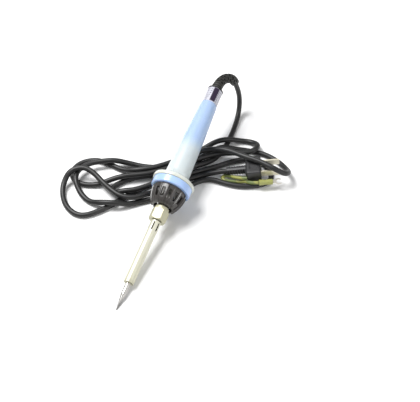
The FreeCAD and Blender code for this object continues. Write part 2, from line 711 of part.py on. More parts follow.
def blade_box(side, grow, back, front):
    """The space of one blade, from one station to another, grown on every side."""
    box = tool("Part::Box", {
        "Length": s.blade_wide + grow * 2, "Width": s.blade_thick + grow * 2, "Height": front - back})
    across = float(s.blade_gap) / 2 * side - float(s.blade_thick) / 2 - grow
    box.Placement = Placement(Vector(-float(s.blade_wide) / 2 - grow, across, float(back)), Rotation())
    return box


blade_back = plug_front - s.blade_root
bridge = tool("Part::Box", {
    "Length": s.blade_wide + 1.6, "Width": s.blade_gap + 4.0, "Height": s.bridge_thick})
bridge.Placement = Placement(
    Vector(-float(s.blade_wide) / 2 - 0.8, -float(s.blade_gap) / 2 - 2.0, float(blade_back)), Rotation())
blade_slots = [blade_box(side, 0, blade_back, plug_front) for side in BLADE_SIDES]
bridge_hole = combine("Part::MultiFuse", "plug_hollow", bridge, *blade_slots)
keep(combine("Part::Cut", "plug_body_cut", shell, bridge_hole), "plug_body", PLUG_LEVEL)
bridge_slots = combine("Part::MultiFuse", "bridge_slots",
                       *[blade_box(side, 0, blade_back, plug_front) for side in BLADE_SIDES])
keep(combine("Part::Cut", "bridge_cut", bridge, bridge_slots), "plug_bridge", PLUG_LEVEL)
for side, label in zip(BLADE_SIDES, ("plug_blade_near", "plug_blade_far")):
    blade = blade_box(side, 0, blade_back, blade_front)
    rounded = doc.addObject("Part::Chamfer", label + "_chamfer")
    rounded.Base = blade
    doc.recompute()
    tip_edges = [number for number, edge in enumerate(blade.Shape.Edges, 1)
                 if edge.BoundBox.ZMin > float(blade_front) - 0.01]
    rounded.Edges = [(number, 0.4, 0.4) for number in tip_edges]
    keep(rounded, label, PLUG_LEVEL)

# ---------------------------------------------------------------- earth lead

EARTH = [
    Vector(54.7, 50.85, 8.65), Vector(51.5, 50.2, 8.0), Vector(47, 49.9, 6.6), Vector(42, 50.4, 5.2),
    Vector(37.5, 51.3, 3.4), Vector(33, 51.6, 1.9), Vector(31.6, 49.2, 1.7), Vector(33, 46.8, 1.7),
    Vector(40, 47.9, 1.7), Vector(47.5, 49.4, 2.2), Vector(54, 49.4, 5.3), Vector(60.8, 47.9, 7.7),
    Vector(66, 49.9, 8.3),
]
earth_path, earth_radii = round_path(EARTH)
print("earth lead: %.0f mm, smallest radii %s" % (
    earth_path.Length, [round(r, 1) for r in sorted(earth_radii)[:4]]))
earth_wire = doc.addObject("Part::Feature", "earth_wire")
earth_wire.Shape = round_tube(earth_path, float(s.earth_dia))
keep(earth_wire, "earth_lead", Placement())

TERMINAL_TURN = 27
terminal = Placement(EARTH[-1], Rotation(Vector(0, 0, 1), TERMINAL_TURN) * Rotation(Vector(0, 1, 0), 91))
keep(turned_body("earth_sleeve_body", [
    (0, s.air_gap),
    (s.earth_sleeve_dia / 2 - 0.6, s.air_gap),
    (s.earth_sleeve_dia / 2, 1.0),
    (s.earth_sleeve_dia / 2, s.earth_sleeve_long),
    (0, s.earth_sleeve_long),
]), "earth_terminal_sleeve", terminal)
fork_plate = tool("Part::Box", {
    "Length": s.fork_thick, "Width": s.fork_wide, "Height": s.fork_long})
fork_plate.Placement = Placement(
    Vector(-float(s.fork_thick) / 2, -float(s.fork_wide) / 2, float(s.earth_sleeve_long)), Rotation())
fork_gap = tool("Part::Box", {
    "Length": s.fork_thick * 3, "Width": s.fork_slot, "Height": s.fork_long - 3.0})
fork_gap.Placement = Placement(
    Vector(-float(s.fork_thick) * 1.5, -float(s.fork_slot) / 2, float(s.earth_sleeve_long) + 3.0), Rotation())
keep(combine("Part::Cut", "fork", fork_plate, fork_gap), "earth_fork", terminal)

# ---------------------------------------------------------------- checks and files

doc.recompute()
faults = [item.Name + " " + " ".join(item.State) for item in doc.Objects
          if "Invalid" in item.State or "Error" in item.State]
for piece in PARTS:
    if piece.Shape.isNull() or not piece.Shape.isValid() or piece.Shape.Volume <= 0:
        faults.append(piece.Label + " has no sound solid")
if faults:
    raise ValueError("; ".join(faults))

os.makedirs("parts", exist_ok=True)
for piece in PARTS:
    piece.Shape.exportStep("parts/%s.step" % piece.Label)
print("%d parts, lean %.2f degrees" % (len(PARTS), math.degrees(LEAN)))
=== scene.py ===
"""A mains soldering iron for stained glass, resting on its own looped lead."""

import math

import bpy
from mathutils import Euler, Matrix, Vector


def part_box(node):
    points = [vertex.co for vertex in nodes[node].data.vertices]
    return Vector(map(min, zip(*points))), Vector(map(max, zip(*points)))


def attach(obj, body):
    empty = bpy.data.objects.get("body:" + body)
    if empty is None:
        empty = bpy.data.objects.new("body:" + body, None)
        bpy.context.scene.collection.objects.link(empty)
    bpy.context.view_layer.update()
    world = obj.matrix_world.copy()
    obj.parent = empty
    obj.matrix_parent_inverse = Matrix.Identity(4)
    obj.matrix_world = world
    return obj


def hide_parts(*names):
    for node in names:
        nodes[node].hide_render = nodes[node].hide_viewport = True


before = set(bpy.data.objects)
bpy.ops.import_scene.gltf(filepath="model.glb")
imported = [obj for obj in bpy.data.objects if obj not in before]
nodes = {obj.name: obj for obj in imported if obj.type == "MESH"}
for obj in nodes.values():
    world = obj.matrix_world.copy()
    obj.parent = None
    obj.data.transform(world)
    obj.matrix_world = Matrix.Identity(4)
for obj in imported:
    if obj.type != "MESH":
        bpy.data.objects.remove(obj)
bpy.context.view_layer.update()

MM = 0.001

# ---------------------------------------------------------------- where the iron lies

LEAN = math.radians(11.2867)
POINT_RADIUS = 0.35 * MM
tip_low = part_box("tip")[0]
TIP_AT = Vector((0, tip_low[1] + POINT_RADIUS * math.sin(LEAN), POINT_RADIUS * math.cos(LEAN)))
AXIS = Vector((0, math.cos(LEAN), math.sin(LEAN)))
IRON_TURN = Euler((LEAN - math.pi / 2, 0, 0))
ALONG_IRON = Matrix.Translation(TIP_AT) @ IRON_TURN.to_matrix().to_4x4()

# Stations along the iron from the point of its tip, in millimetres.
BARREL_FRONT = 24.7
BARREL_INSIDE = 26.2
NUT_FRONT = 85.3
COLLAR_FRONT = 99.1
COLLAR_BACK = 116.5
GRIP_FRONT = 123.3
GRIP_BACK = 213.0
LABEL_FRONT = 214.2
LABEL_BACK = 229.0
CORE_RIM = 229.1
CAP_BACK = 230.8

# ---------------------------------------------------------------- camera

LOOK_FROM = Vector((0.1898, -0.3923, 0.5535))
LOOK_AT = Vector((0.0344, 0.0089, 0.015))
bpy.ops.object.camera_add(location=LOOK_FROM)
camera = bpy.context.object
camera.rotation_euler = (LOOK_AT - LOOK_FROM).to_track_quat("-Z", "Y").to_euler()
camera.data.lens = 66.86
camera.data.sensor_width = 36
bpy.context.scene.camera = camera

# ---------------------------------------------------------------- finishes


class Value:
    """A socket inside a finish, with arithmetic."""

    def __init__(self, finish, socket):
        self.finish = finish
        self.socket = socket

    def worked(self, operation, *numbers):
        """The result of one Math node on the given numbers."""
        return self.finish.add("ShaderNodeMath", {"operation": operation}, dict(enumerate(numbers)))

    def __add__(self, other):
        return self.worked("ADD", self, other)

    __radd__ = __add__

    def __sub__(self, other):
        return self.worked("SUBTRACT", self, other)

    def __rsub__(self, other):
        return self.worked("SUBTRACT", other, self)

    def __mul__(self, other):
        return self.worked("MULTIPLY", self, other)

    __rmul__ = __mul__

    def __truediv__(self, other):
        return self.worked("DIVIDE", self, other)

    def __gt__(self, other):
        return self.worked("GREATER_THAN", self, other)

    def __lt__(self, other):
        return self.worked("LESS_THAN", self, other)


class Finish:
    """A material with its shader and the nodes that vary it."""

    def __init__(self, name, colour, roughness, **fixed):
        self.material = bpy.data.materials.new(name)
        self.material.use_nodes = True
        self.tree = self.material.node_tree
        self.shader = self.tree.nodes["Principled BSDF"]
        self.place = Value(self, self.tree.nodes.new("ShaderNodeTexCoord").outputs["Object"])
        self.set("Base Color", (*colour, 1))
        self.set("Roughness", roughness)
        for socket, number in fixed.items():
            self.set(socket.replace("_", " "), number)

    def set(self, socket, value):
        if isinstance(value, Value):
            self.tree.links.new(value.socket, self.shader.inputs[socket])
        else:
            self.shader.inputs[socket].default_value = value

    def add(self, kind, settings, sockets, output=0):
        """Adds a node: its settings first, then the numbers or links of its sockets."""
        node = self.tree.nodes.new(kind)
        for name, value in settings.items():
            if name == "stops":
                for _ in value[2:]:
                    node.color_ramp.elements.new(0.5)
                for element, (spot, colour) in zip(node.color_ramp.elements, value):
                    element.position = spot
                    element.color = (*colour, 1)
            else:
                setattr(node, name, value)
        for name, value in sockets.items():
            if isinstance(value, Value):
                self.tree.links.new(value.socket, node.inputs[name])
            else:
                node.inputs[name].default_value = value
        return Value(self, node.outputs[output])

    def iron_place(self):
        """The place of a point in the iron's own frame, Z along its axis."""
        return self.add("ShaderNodeMapping", {"vector_type": "TEXTURE"},
                        {"Vector": self.place, "Location": TIP_AT, "Rotation": IRON_TURN})

    def parts(self, place):
        split = self.tree.nodes.new("ShaderNodeSeparateXYZ")
        self.tree.links.new(place.socket, split.inputs[0])
        return [Value(self, output) for output in split.outputs]

    def from_axis(self, across, up):
        """Distance from the iron's axis."""
        square = across * across + up * up
        return square.worked("SQRT", square)

    def noise(self, scale, detail=3.0, place=None, stretch=None):
        place = place or self.place
        if stretch:
            place = self.add("ShaderNodeMapping", {}, {"Vector": place, "Scale": stretch})
        return self.add("ShaderNodeTexNoise", {}, {"Vector": place, "Scale": scale, "Detail": detail})

    def ramp(self, amount, *stops):
        return self.add("ShaderNodeValToRGB", {"stops": stops}, {0: amount})

    def blend(self, mask, first, second):
        """Goes from the first colour to the second with the mask."""
        first, second = ((*c, 1) if isinstance(c, tuple) and len(c) == 3 else c for c in (first, second))
        return self.add("ShaderNodeMix", {"data_type": "RGBA"}, {0: mask, 6: first, 7: second}, 2)

    def bump(self, height, depth, strength=1.0):
        """Raises the surface by depth times the height."""
        self.set("Normal", self.add("ShaderNodeBump", {},
                                    {"Height": height, "Distance": depth, "Strength": strength}))


def dark_pvc(name, colour, roughness, grain=2600):
    """Moulded or drawn soft vinyl, a little uneven in sheen."""
    finish = Finish(name, colour, roughness, IOR=1.5)
    cloudy = finish.noise(190, 4)
    fine = finish.noise(grain, 5)
    finish.set("Base Color", finish.blend(cloudy, colour, tuple(c * 1.7 + 0.004 for c in colour)))
    finish.set("Roughness", roughness - 0.07 + cloudy * 0.12 + fine * 0.05)
    finish.bump(fine * 0.4 + cloudy * 0.6, 0.00006)
    return finish


def worked_metal(name, colour, roughness, tarnish, turned=True, bright=1.0):
    """Plated or bare metal with the fine lines of its making."""
    finish = Finish(name, colour, roughness, Metallic=bright)
    place = finish.iron_place()
    lines = finish.noise(1, 3, place, (260, 260, 9000) if turned else (7000, 7000, 260))
    cloudy = finish.noise(260, 4)
    finish.set("Base Color", finish.blend(cloudy * 0.55, colour, tarnish))
    finish.set("Roughness", roughness - 0.05 + lines * 0.09 + cloudy * 0.07)
    finish.bump(lines, 0.000012)
    return finish


def hard_plastic(name, colour, roughness, shade, depth=0.00001, **fixed):
    """Injection-moulded plastic with a faint swirl and skin."""
    finish = Finish(name, colour, roughness, **fixed)
    swirl = finish.noise(70, 4)
    skin = finish.noise(2400, 3)
    finish.set("Base Color", finish.blend(swirl, colour, shade))
    finish.set("Roughness", roughness - 0.03 + skin * 0.08)
    finish.bump(skin, depth)
    return finish


def tip_plate():
    """Bright plating over copper, dull and grey where the solder wets the point, with painted shade:
    near-black where the tip runs inside the barrel.
    """
    finish = Finish("tip_plate", (0.78, 0.77, 0.74), 0.16, Metallic=1.0)
    station = finish.parts(finish.iron_place())[2]
    cloudy = finish.noise(420, 3)
    along = (station + cloudy * 0.0014) / 0.040
    worn = finish.ramp(along, (0.0, (0.16, 0.155, 0.15)), (0.14, (0.22, 0.215, 0.21)),
                       (0.32, (0.44, 0.43, 0.41)), (0.55, (0.52, 0.51, 0.48)), (0.75, (0.50, 0.45, 0.38)))
    # Painted shade: the tip behind the barrel's mouth, inside the tube, is painted near-black.
    finish.set("Base Color", finish.blend(station > BARREL_INSIDE * MM, worn, (0.018, 0.015, 0.013)))
    finish.set("Roughness", finish.ramp(along, (0.0, (0.5,) * 3), (0.20, (0.32,) * 3), (1.0, (0.36,) * 3)))
    finish.bump(cloudy, 0.000003)
    return finish


BARREL_BORE_SHADE_RADIUS = 4.2


def barrel_plate():
    """Satin nickel on the tube, straw coloured by heat towards the tip, with painted shade: near-black on
    the bore inside the tube.
    """
    finish = Finish("barrel_plate", (0.74, 0.71, 0.63), 0.36, Metallic=0.42)
    place = finish.iron_place()
    across, up, station = finish.parts(place)
    lines = finish.noise(1, 3, place, (320, 320, 2600))
    cloudy = finish.noise(240, 4)
    along = (station - BARREL_FRONT * MM + cloudy * 0.006) / ((NUT_FRONT - BARREL_FRONT) * MM)
    plated = finish.ramp(along, (0.0, (0.48, 0.46, 0.33)), (0.12, (0.61, 0.60, 0.47)),
                         (0.6, (0.66, 0.65, 0.53)), (1.0, (0.69, 0.68, 0.55)))
    # Painted shade: the bore of the tube, within this radius and behind the mouth, is painted near-black.
    inside = (finish.from_axis(across, up) < BARREL_BORE_SHADE_RADIUS * MM) * (station > BARREL_INSIDE * MM)
    finish.set("Base Color", finish.blend(inside, plated, (0.012, 0.011, 0.010)))
    finish.set("Roughness", 0.34 + lines * 0.10 + cloudy * 0.12)
    finish.bump(lines, 0.000004)
    return finish


def grip_plastic():
    """Whitish, slightly see-through sleeve that turns light blue towards the rear."""
    finish = Finish("grip_plastic", (0.70, 0.79, 0.86), 0.24, Coat_Weight=0.25, Coat_Roughness=0.12,
                    Subsurface_Weight=0.45, Subsurface_Scale=0.008)
    finish.set("Subsurface Radius", (0.9, 1.0, 1.1))
    station = finish.parts(finish.iron_place())[2]
    swirl = finish.noise(90, 4)
    skin = finish.noise(1900, 3)
    along = (station - GRIP_FRONT * MM + swirl * 0.004) / ((GRIP_BACK - GRIP_FRONT) * MM)
    finish.set("Base Color", finish.ramp(
        along, (0.0, (0.64, 0.64, 0.53)), (0.10, (0.58, 0.64, 0.65)), (0.42, (0.55, 0.62, 0.66)),
        (0.50, (0.45, 0.57, 0.73)), (0.56, (0.38, 0.51, 0.78)), (1.0, (0.37, 0.50, 0.78))))
    finish.set("Roughness", 0.20 + skin * 0.08 + swirl * 0.05)
    finish.bump(skin, 0.000012)
    return finish


COLLAR_BACK_RADIUS = 15.0


def ribbed_resin():
    """Dark grey moulded resin, black in the shade of the vents."""
    finish = Finish("ribbed_resin", (0.030, 0.028, 0.027), 0.26, IOR=1.5)
    across, up, station = finish.parts(finish.iron_place())
    along = (station - COLLAR_FRONT * MM) / ((COLLAR_BACK - COLLAR_FRONT) * MM)
    wall = finish.ramp(along, (0.0, (0.50,) * 3), (0.30, (0.72,) * 3), (0.75, (0.86,) * 3))
    deep = finish.from_axis(across, up) < wall * (COLLAR_BACK_RADIUS * MM)
    cloudy = finish.noise(320, 4)
    skin = finish.noise(1500, 3)
    grey = finish.blend(cloudy, (0.034, 0.031, 0.030), (0.062, 0.056, 0.052))
    finish.set("Base Color", finish.blend(deep, grey, (0.004, 0.004, 0.004)))
    finish.set("Roughness", 0.22 + skin * 0.08 + cloudy * 0.10)
    finish.bump(skin, 0.00002)
    return finish


def core_blue():
    """Light blue plastic, black at the rear end that the cap closes."""
    finish = Finish("core_plastic", (0.36, 0.51, 0.83), 0.24,
                    Coat_Weight=0.2, Subsurface_Weight=0.12, Subsurface_Scale=0.004)
    station = finish.parts(finish.iron_place())[2]
    blue = finish.blend(finish.noise(70, 4), (0.36, 0.51, 0.83), (0.40, 0.55, 0.86))
    skin = finish.noise(2400, 3)
    finish.set("Base Color", finish.blend(station > CORE_RIM * MM, blue, (0.010, 0.010, 0.010)))
    finish.set("Roughness", 0.21 + skin * 0.08)
    finish.bump(skin, 0.00001)
    return finish


def label_film():
    """A white wrapped label with one dark panel along it and small grey ticks."""
    finish = Finish("label_film", (0.86, 0.86, 0.90), 0.30, Coat_Weight=0.3)
    across, up, station = finish.parts(finish.iron_place())
    from_panel = up.worked("ARCTAN2", up, across) + math.radians(66)
    on_panel = from_panel.worked("ABSOLUTE", from_panel) < math.radians(20)
    inside_ends = (station > LABEL_FRONT * MM) * (station < LABEL_BACK * MM)
    rows = station.worked("PINGPONG", station, 0.0011)
    dashes = finish.noise(1, 1, finish.iron_place(), (900, 900, 90))
    ticks = (rows < 0.0005) * (dashes > 0.50) * (1 - on_panel) * 0.75
    paper = finish.blend(ticks, (0.52, 0.52, 0.58), (0.08, 0.08, 0.11))
    finish.set("Base Color", finish.blend(on_panel * inside_ends, paper, (0.022, 0.014, 0.034)))
    finish.set("Roughness", 0.26 + finish.noise(1500, 2) * 0.1)
    return finish


def striped_jacket():
    """Yellow vinyl with a green stripe wound slowly round it."""
    finish = Finish("striped_jacket", (0.26, 0.27, 0.065), 0.42)
    across, along, height = finish.parts(finish.place)
    turns = across * 210 + along * 90 + height * 480
    wave = turns.worked("SINE", turns)
    mottled = finish.noise(1700, 3)
    striped = (wave + mottled * 0.3) > 0.45
    finish.set("Base Color", finish.blend(striped, (0.26, 0.27, 0.065), (0.12, 0.155, 0.04)))
    finish.set("Roughness", 0.36 + mottled * 0.12)
    finish.bump(mottled, 0.00002)
    return finish


lead_jacket = dark_pvc("lead_jacket", (0.008, 0.008, 0.008), 0.44)
boot_vinyl = dark_pvc("boot_vinyl", (0.020, 0.020, 0.018), 0.46, 1900)
plug_vinyl = dark_pvc("plug_vinyl", (0.013, 0.013, 0.014), 0.44, 1500)
collar_resin = ribbed_resin()
cap_resin = dark_pvc("cap_resin", (0.010, 0.010, 0.010), 0.38)
core_plastic = core_blue()
nut_plate = worked_metal("nut_plate", (0.55, 0.53, 0.38), 0.42, (0.40, 0.38, 0.26), bright=0.35)
sleeve_steel = worked_metal("sleeve_steel", (0.56, 0.55, 0.53), 0.34, (0.36, 0.33, 0.29))
shield_steel = worked_metal("shield_steel", (0.60, 0.60, 0.60), 0.30, (0.42, 0.39, 0.34))
spring_steel = worked_metal("spring_steel", (0.55, 0.55, 0.56), 0.26, (0.38, 0.36, 0.34))
screw_zinc = worked_metal("screw_zinc", (0.58, 0.59, 0.62), 0.34, (0.44, 0.43, 0.38))
post_brass = worked_metal("post_brass", (0.80, 0.60, 0.24), 0.26, (0.55, 0.38, 0.16))
heater_nickel = worked_metal("heater_nickel", (0.60, 0.58, 0.54), 0.36, (0.40, 0.36, 0.30), turned=False)
blade_nickel = worked_metal("blade_nickel", (0.86, 0.82, 0.68), 0.32, (0.70, 0.64, 0.48), turned=False,
                            bright=0.7)
fork_tin = worked_metal("fork_tin", (0.86, 0.84, 0.78), 0.36, (0.66, 0.63, 0.55), turned=False, bright=0.7)
heater_alumina = hard_plastic("heater_alumina", (0.80, 0.78, 0.74), 0.62, (0.70, 0.66, 0.60), 0.00004)
bush_ceramic = hard_plastic("bush_ceramic", (0.74, 0.72, 0.66), 0.55, (0.64, 0.60, 0.54), 0.00004)
board_laminate = hard_plastic("board_laminate", (0.46, 0.30, 0.12), 0.48, (0.36, 0.22, 0.08), 0.00003)
clamp_nylon = hard_plastic("clamp_nylon", (0.76, 0.75, 0.70), 0.46, (0.70, 0.68, 0.62))
bridge_plastic = hard_plastic("bridge_plastic", (0.60, 0.57, 0.48), 0.5, (0.54, 0.50, 0.42))
live_vinyl = hard_plastic("live_vinyl", (0.20, 0.07, 0.025), 0.44, (0.26, 0.10, 0.04))
neutral_vinyl = hard_plastic("neutral_vinyl", (0.03, 0.12, 0.50), 0.44, (0.04, 0.16, 0.56))
core_earth_vinyl = striped_jacket()
terminal_vinyl = hard_plastic("terminal_vinyl", (0.28, 0.29, 0.08), 0.36, (0.33, 0.34, 0.11), 0.00003)

NODE_FINISHES = {
    "tip": tip_plate(), "barrel": barrel_plate(), "barrel_nut": nut_plate, "threaded_sleeve": sleeve_steel,
    "heater_bush": bush_ceramic, "heater_rod": heater_alumina, "earth_spring": spring_steel,
    "heat_shield": shield_steel, "handle_core": core_plastic, "rating_label": label_film(),
    "rear_cap": cap_resin, "front_screws": screw_zinc, "terminal_board": board_laminate,
    "terminal_posts": post_brass, "heater_wire_live": heater_nickel, "heater_wire_neutral": heater_nickel,
    "lead_wire_live": live_vinyl, "lead_wire_neutral": neutral_vinyl, "lead_wire_earth": core_earth_vinyl,
    "cord_tail": lead_jacket, "cord_clamp": clamp_nylon, "plug_bridge": bridge_plastic,
    "plug_blade_near": blade_nickel, "plug_blade_far": blade_nickel,
}
for node, finish in NODE_FINISHES.items():
    for slot in nodes[node].material_slots:
        slot.material = finish.material

# ---------------------------------------------------------------- leads


def route(name, points, diameter, finish=None, steps=8):
    """A round lead along one smooth line, or the bare line where there is no finish."""
    line = bpy.data.curves.new(name, "CURVE")
    line.dimensions = "3D"
    line.resolution_u = steps
    line.bevel_depth = diameter / 2
    line.bevel_resolution = 5
    line.use_fill_caps = True
    strand = line.splines.new("NURBS")
    strand.points.add(len(points) - 1)
    for knot, point in zip(strand.points, points):
        knot.co = (*(Vector(point) * MM), 1)
    strand.order_u = 3
    strand.use_endpoint_u = True
    piece = bpy.data.objects.new(name, line)
    bpy.context.scene.collection.objects.link(piece)
    if finish:
        line.materials.append(finish.material)
    return piece


LEAD_ROUTE = [
    (10.5, 137, 37.5), (13.5, 140, 26), (16, 138, 13), (18, 129, 4), (20, 113, 2.5), (21, 94, 2.5),
    (19.5, 76, 2.5), (15, 64, 2.5), (8, 54.5, 5), (-1, 43.5, 7.5), (-12, 29, 8), (-24, 13, 8),
    (-35, 2, 8), (-46, -3.5, 7.8), (-54.5, -6.5, 3.5), (-58.5, 1.5, 2.5), (-52, 11.5, 2.5),
    (-42, 21, 2.5), (-30, 27.5, 2.5), (-17, 38, 2.5), (-5, 50, 2.5), (4, 62, 2.5), (11, 72.5, 6.5),
    (20, 79.5, 8.5), (31, 84, 5), (45, 89, 2.5), (60, 90, 2.5), (74, 85.5, 2.5), (84, 77.5, 5),
    (89, 69, 11), (86.5, 61, 17), (76, 60.5, 21), (62, 64, 21), (46, 65, 20.5), (30, 69.5, 17.5),
    (17, 69.5, 14.5), (5, 66, 11.5), (-6, 58, 8.5), (-17, 45, 8), (-30, 32.5, 8), (-44, 24.5, 7.5),
    (-58, 23, 2.5), (-72, 25.5, 2.5), (-86, 26.5, 2.5), (-98, 19, 2.5), (-102.5, 7.5, 2.5),
    (-98, -3, 2.5), (-86, -6.5, 2.5), (-72, -1.5, 2.5), (-62, 6, 6.5), (-53, 12.5, 8), (-43, 18, 8),
    (-31, 24.5, 8), (-17, 37, 8), (-3, 51, 8), (8, 61.5, 8), (19, 70.5, 8), (32, 76, 8), (44, 81, 8),
    (50.5, 88, 8.3), (50, 96.5, 6), (42, 100.5, 2.5), (31, 98, 2.5), (21, 90.5, 8.5), (11, 84, 7.8),
    (2, 75.5, 2.5), (-6, 64, 2.5), (-15, 51, 2.5), (-26, 39, 2.5), (-42, 34, 2.5), (-56, 32, 4),
    (-68, 27.5, 8.3), (-80, 21.5, 8), (-90, 14, 8), (-95, 3, 8), (-91.5, -8, 8), (-82, -17, 3.5),
    (-70, -22.5, 2.5), (-58, -22, 7.5), (-46, -18.5, 8), (-36, -12.5, 3.5), (-28, -5.5, 2.5),
    (-18.5, 2, 2.5), (-6, 14, 2.5), (6, 27, 2.5), (14, 38, 2.5), (24, 43, 2.5), (35, 42.5, 2.5),
    (47, 43.5, 2.5), (58, 47, 2.5), (69, 53.5, 2.5), (75, 62, 2.5), (71, 71, 2.5), (62, 77.5, 2.5),
    (50, 79.5, 2.5), (39, 75, 2.5), (29, 66, 2.5), (19, 56.5, 2.5), (8, 47.5, 2.5), (-3, 38, 2.5),
    (-16, 27, 2.5), (-28, 16, 2.5), (-38, 3, 2.5), (-46, -11, 2.5), (-56, -27, 2.5), (-70, -40.5, 2.5),
    (-86, -36, 2.5), (-97, -24, 2.5), (-101.5, -12, 5.5), (-99, -1.5, 12.5), (-88, 5.5, 14),
    (-77, 3.5, 12), (-66, -2, 9.5), (-55, -7.5, 10), (-44, -10.5, 9), (-33, -7.5, 8), (-24, 1.5, 7),
    (-17, 13, 2.5), (-8, 25, 2.5), (3, 35.5, 2.5), (13.5, 44.5, 2.5), (23.6, 49.75, 5.3),
    (33.6, 53.4, 7),
]
EARTH_ROUTE = [
    (54.7, 50.85, 8.65), (51.5, 50.2, 8.0), (47, 49.9, 6.6), (42, 50.4, 5.2), (37.5, 51.5, 3.4),
    (31.5, 52.1, 1.9), (31.5, 46.5, 1.7), (40, 47.3, 1.7), (47.5, 49.4, 2.2),
    (54, 49.4, 5.3), (60.8, 47.9, 7.7), (66, 49.9, 8.3),
]
LEAD_DIAMETER = 5 * MM
EARTH_DIAMETER = 3.2 * MM

mains_lead = route("mains_lead", LEAD_ROUTE, LEAD_DIAMETER, lead_jacket)
earth_lead = route("earth_lead_bare", EARTH_ROUTE, EARTH_DIAMETER, core_earth_vinyl, 12)

# ---------------------------------------------------------------- modelling helpers


def deselected():
    if bpy.context.object and bpy.context.object.mode != "OBJECT":
        bpy.ops.object.mode_set(mode="OBJECT")
    bpy.ops.object.select_all(action="DESELECT")


def turned(name, rings, sides=96):
    """A shape turned about Z through (station, radius) rings in millimetres, closed at its ends."""
    deselected()
    station, radius = rings[0]
    bpy.ops.mesh.primitive_circle_add(vertices=sides, radius=radius * MM, location=(0, 0, station * MM))
    piece = bpy.context.object
    piece.name = piece.data.name = name
    bpy.ops.object.transform_apply(location=True, rotation=True, scale=True)
    bpy.ops.object.mode_set(mode="EDIT")
    bpy.ops.mesh.select_mode(type="VERT")
    bpy.ops.mesh.select_all(action="SELECT")
    for (before, old), (after, new) in zip(rings, rings[1:]):
        bpy.ops.mesh.extrude_region_move(TRANSFORM_OT_translate={"value": (0, 0, (after - before) * MM)})
        bpy.ops.transform.resize(value=(new / old, new / old, 1), center_override=(0, 0, after * MM))
    bpy.ops.mesh.select_all(action="SELECT")
    bpy.ops.mesh.remove_doubles(threshold=0.00001)
    bpy.ops.mesh.fill_holes(sides=0)
    bpy.ops.mesh.normals_make_consistent(inside=False)
    bpy.ops.object.mode_set(mode="OBJECT")
    return piece


def pick(piece, chosen):
    """Leaves the piece in edit mode with the faces selected that chosen takes by their centres."""
    bpy.context.view_layer.objects.active = piece
    bpy.ops.object.mode_set(mode="EDIT")
    bpy.ops.mesh.select_mode(type="FACE")
    bpy.ops.mesh.select_all(action="DESELECT")
    bpy.ops.object.mode_set(mode="OBJECT")
    for face in piece.data.polygons:
        face.select = chosen(face.center / MM)
    bpy.ops.object.mode_set(mode="EDIT")


def set_in(piece, chosen, edge, depth):
    """Insets each patch of the chosen faces by edge and moves it outwards by depth, in millimetres."""
    pick(piece, chosen)
    bpy.ops.mesh.inset(thickness=edge * MM, depth=depth * MM)
    bpy.ops.object.mode_set(mode="OBJECT")


def modify(piece, kind, **settings):
    """Adds a modifier and applies it."""
    bpy.context.view_layer.objects.active = piece
    step = piece.modifiers.new(kind.lower(), kind)
    for name, value in settings.items():
        setattr(step, name, value)
    bpy.ops.object.modifier_apply(modifier=step.name)


def laid(piece, place, finish, node, angle=35):
    """Puts a piece in its place, gives it its finish and lets it stand for its node."""
    deselected()
    bpy.context.view_layer.objects.active = piece
    piece.select_set(True)
    bpy.ops.object.shade_smooth_by_angle(angle=math.radians(angle))
    piece.matrix_world = place
    bpy.ops.object.transform_apply(location=True, rotation=True, scale=True)
    piece.data.materials.clear()
    piece.data.materials.append(finish.material)
    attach(piece, "root")
    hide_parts(node)
    return piece


def turn_of(spot):
    return math.degrees(math.atan2(spot.y, spot.x)) % 360

# ---------------------------------------------------------------- grip sleeve

FLANGE_RADIUS = 19.25
FLARE_BACK = 135.9
GRIP_RADIUS = 10.95
GRIP_REAR_RADIUS = 7.8
CORE_NECK_RADIUS = 8.95
CORE_REAR_RADIUS = 6.15


def flare(share):
    """Radius of the concave flare behind the flange's rim, from its foot to the grip."""
    return GRIP_RADIUS + (FLANGE_RADIUS - 0.9 - GRIP_RADIUS) * (1 - share) ** 2.3


def grip_radius(share):
    """Radius of the grip behind the flare, a little full in the middle."""
    return GRIP_RADIUS + (GRIP_REAR_RADIUS - GRIP_RADIUS) * share + 0.25 * math.sin(math.pi * share)


FLARE_STEPS = 14
GRIP_STEPS = 18
RIM_BACK = 126.7
grip_rings = [(GRIP_FRONT, FLANGE_RADIUS - 0.6), (GRIP_FRONT + 0.18, FLANGE_RADIUS - 0.18),
              (GRIP_FRONT + 0.6, FLANGE_RADIUS), (RIM_BACK - 0.8, FLANGE_RADIUS),
              (RIM_BACK - 0.25, FLANGE_RADIUS - 0.2), (RIM_BACK, FLANGE_RADIUS - 0.6)]
FLARE_FRONT = RIM_BACK + 0.05
for step in range(FLARE_STEPS + 1):
    share = step / FLARE_STEPS
    grip_rings.append((FLARE_FRONT + (FLARE_BACK - RIM_BACK) * share, flare(share)))
GRIP_EDGE = GRIP_BACK - 1.2
for step in range(1, GRIP_STEPS + 1):
    share = step / GRIP_STEPS
    grip_rings.append((FLARE_BACK + (GRIP_EDGE - FLARE_BACK) * share, grip_radius(share)))
grip_rings += [(GRIP_BACK - 0.35, GRIP_REAR_RADIUS - 0.2), (GRIP_BACK, GRIP_REAR_RADIUS - 0.8),
               (GRIP_BACK, GRIP_REAR_RADIUS - 1.2)]
grip_rings += [(GRIP_BACK, CORE_REAR_RADIUS), (GRIP_FRONT, CORE_NECK_RADIUS), grip_rings[0]]
grip = turned("grip_shell", grip_rings, 128)
laid(grip, ALONG_IRON, grip_plastic(), "grip_sleeve", 50)

# ---------------------------------------------------------------- strain relief of the handle

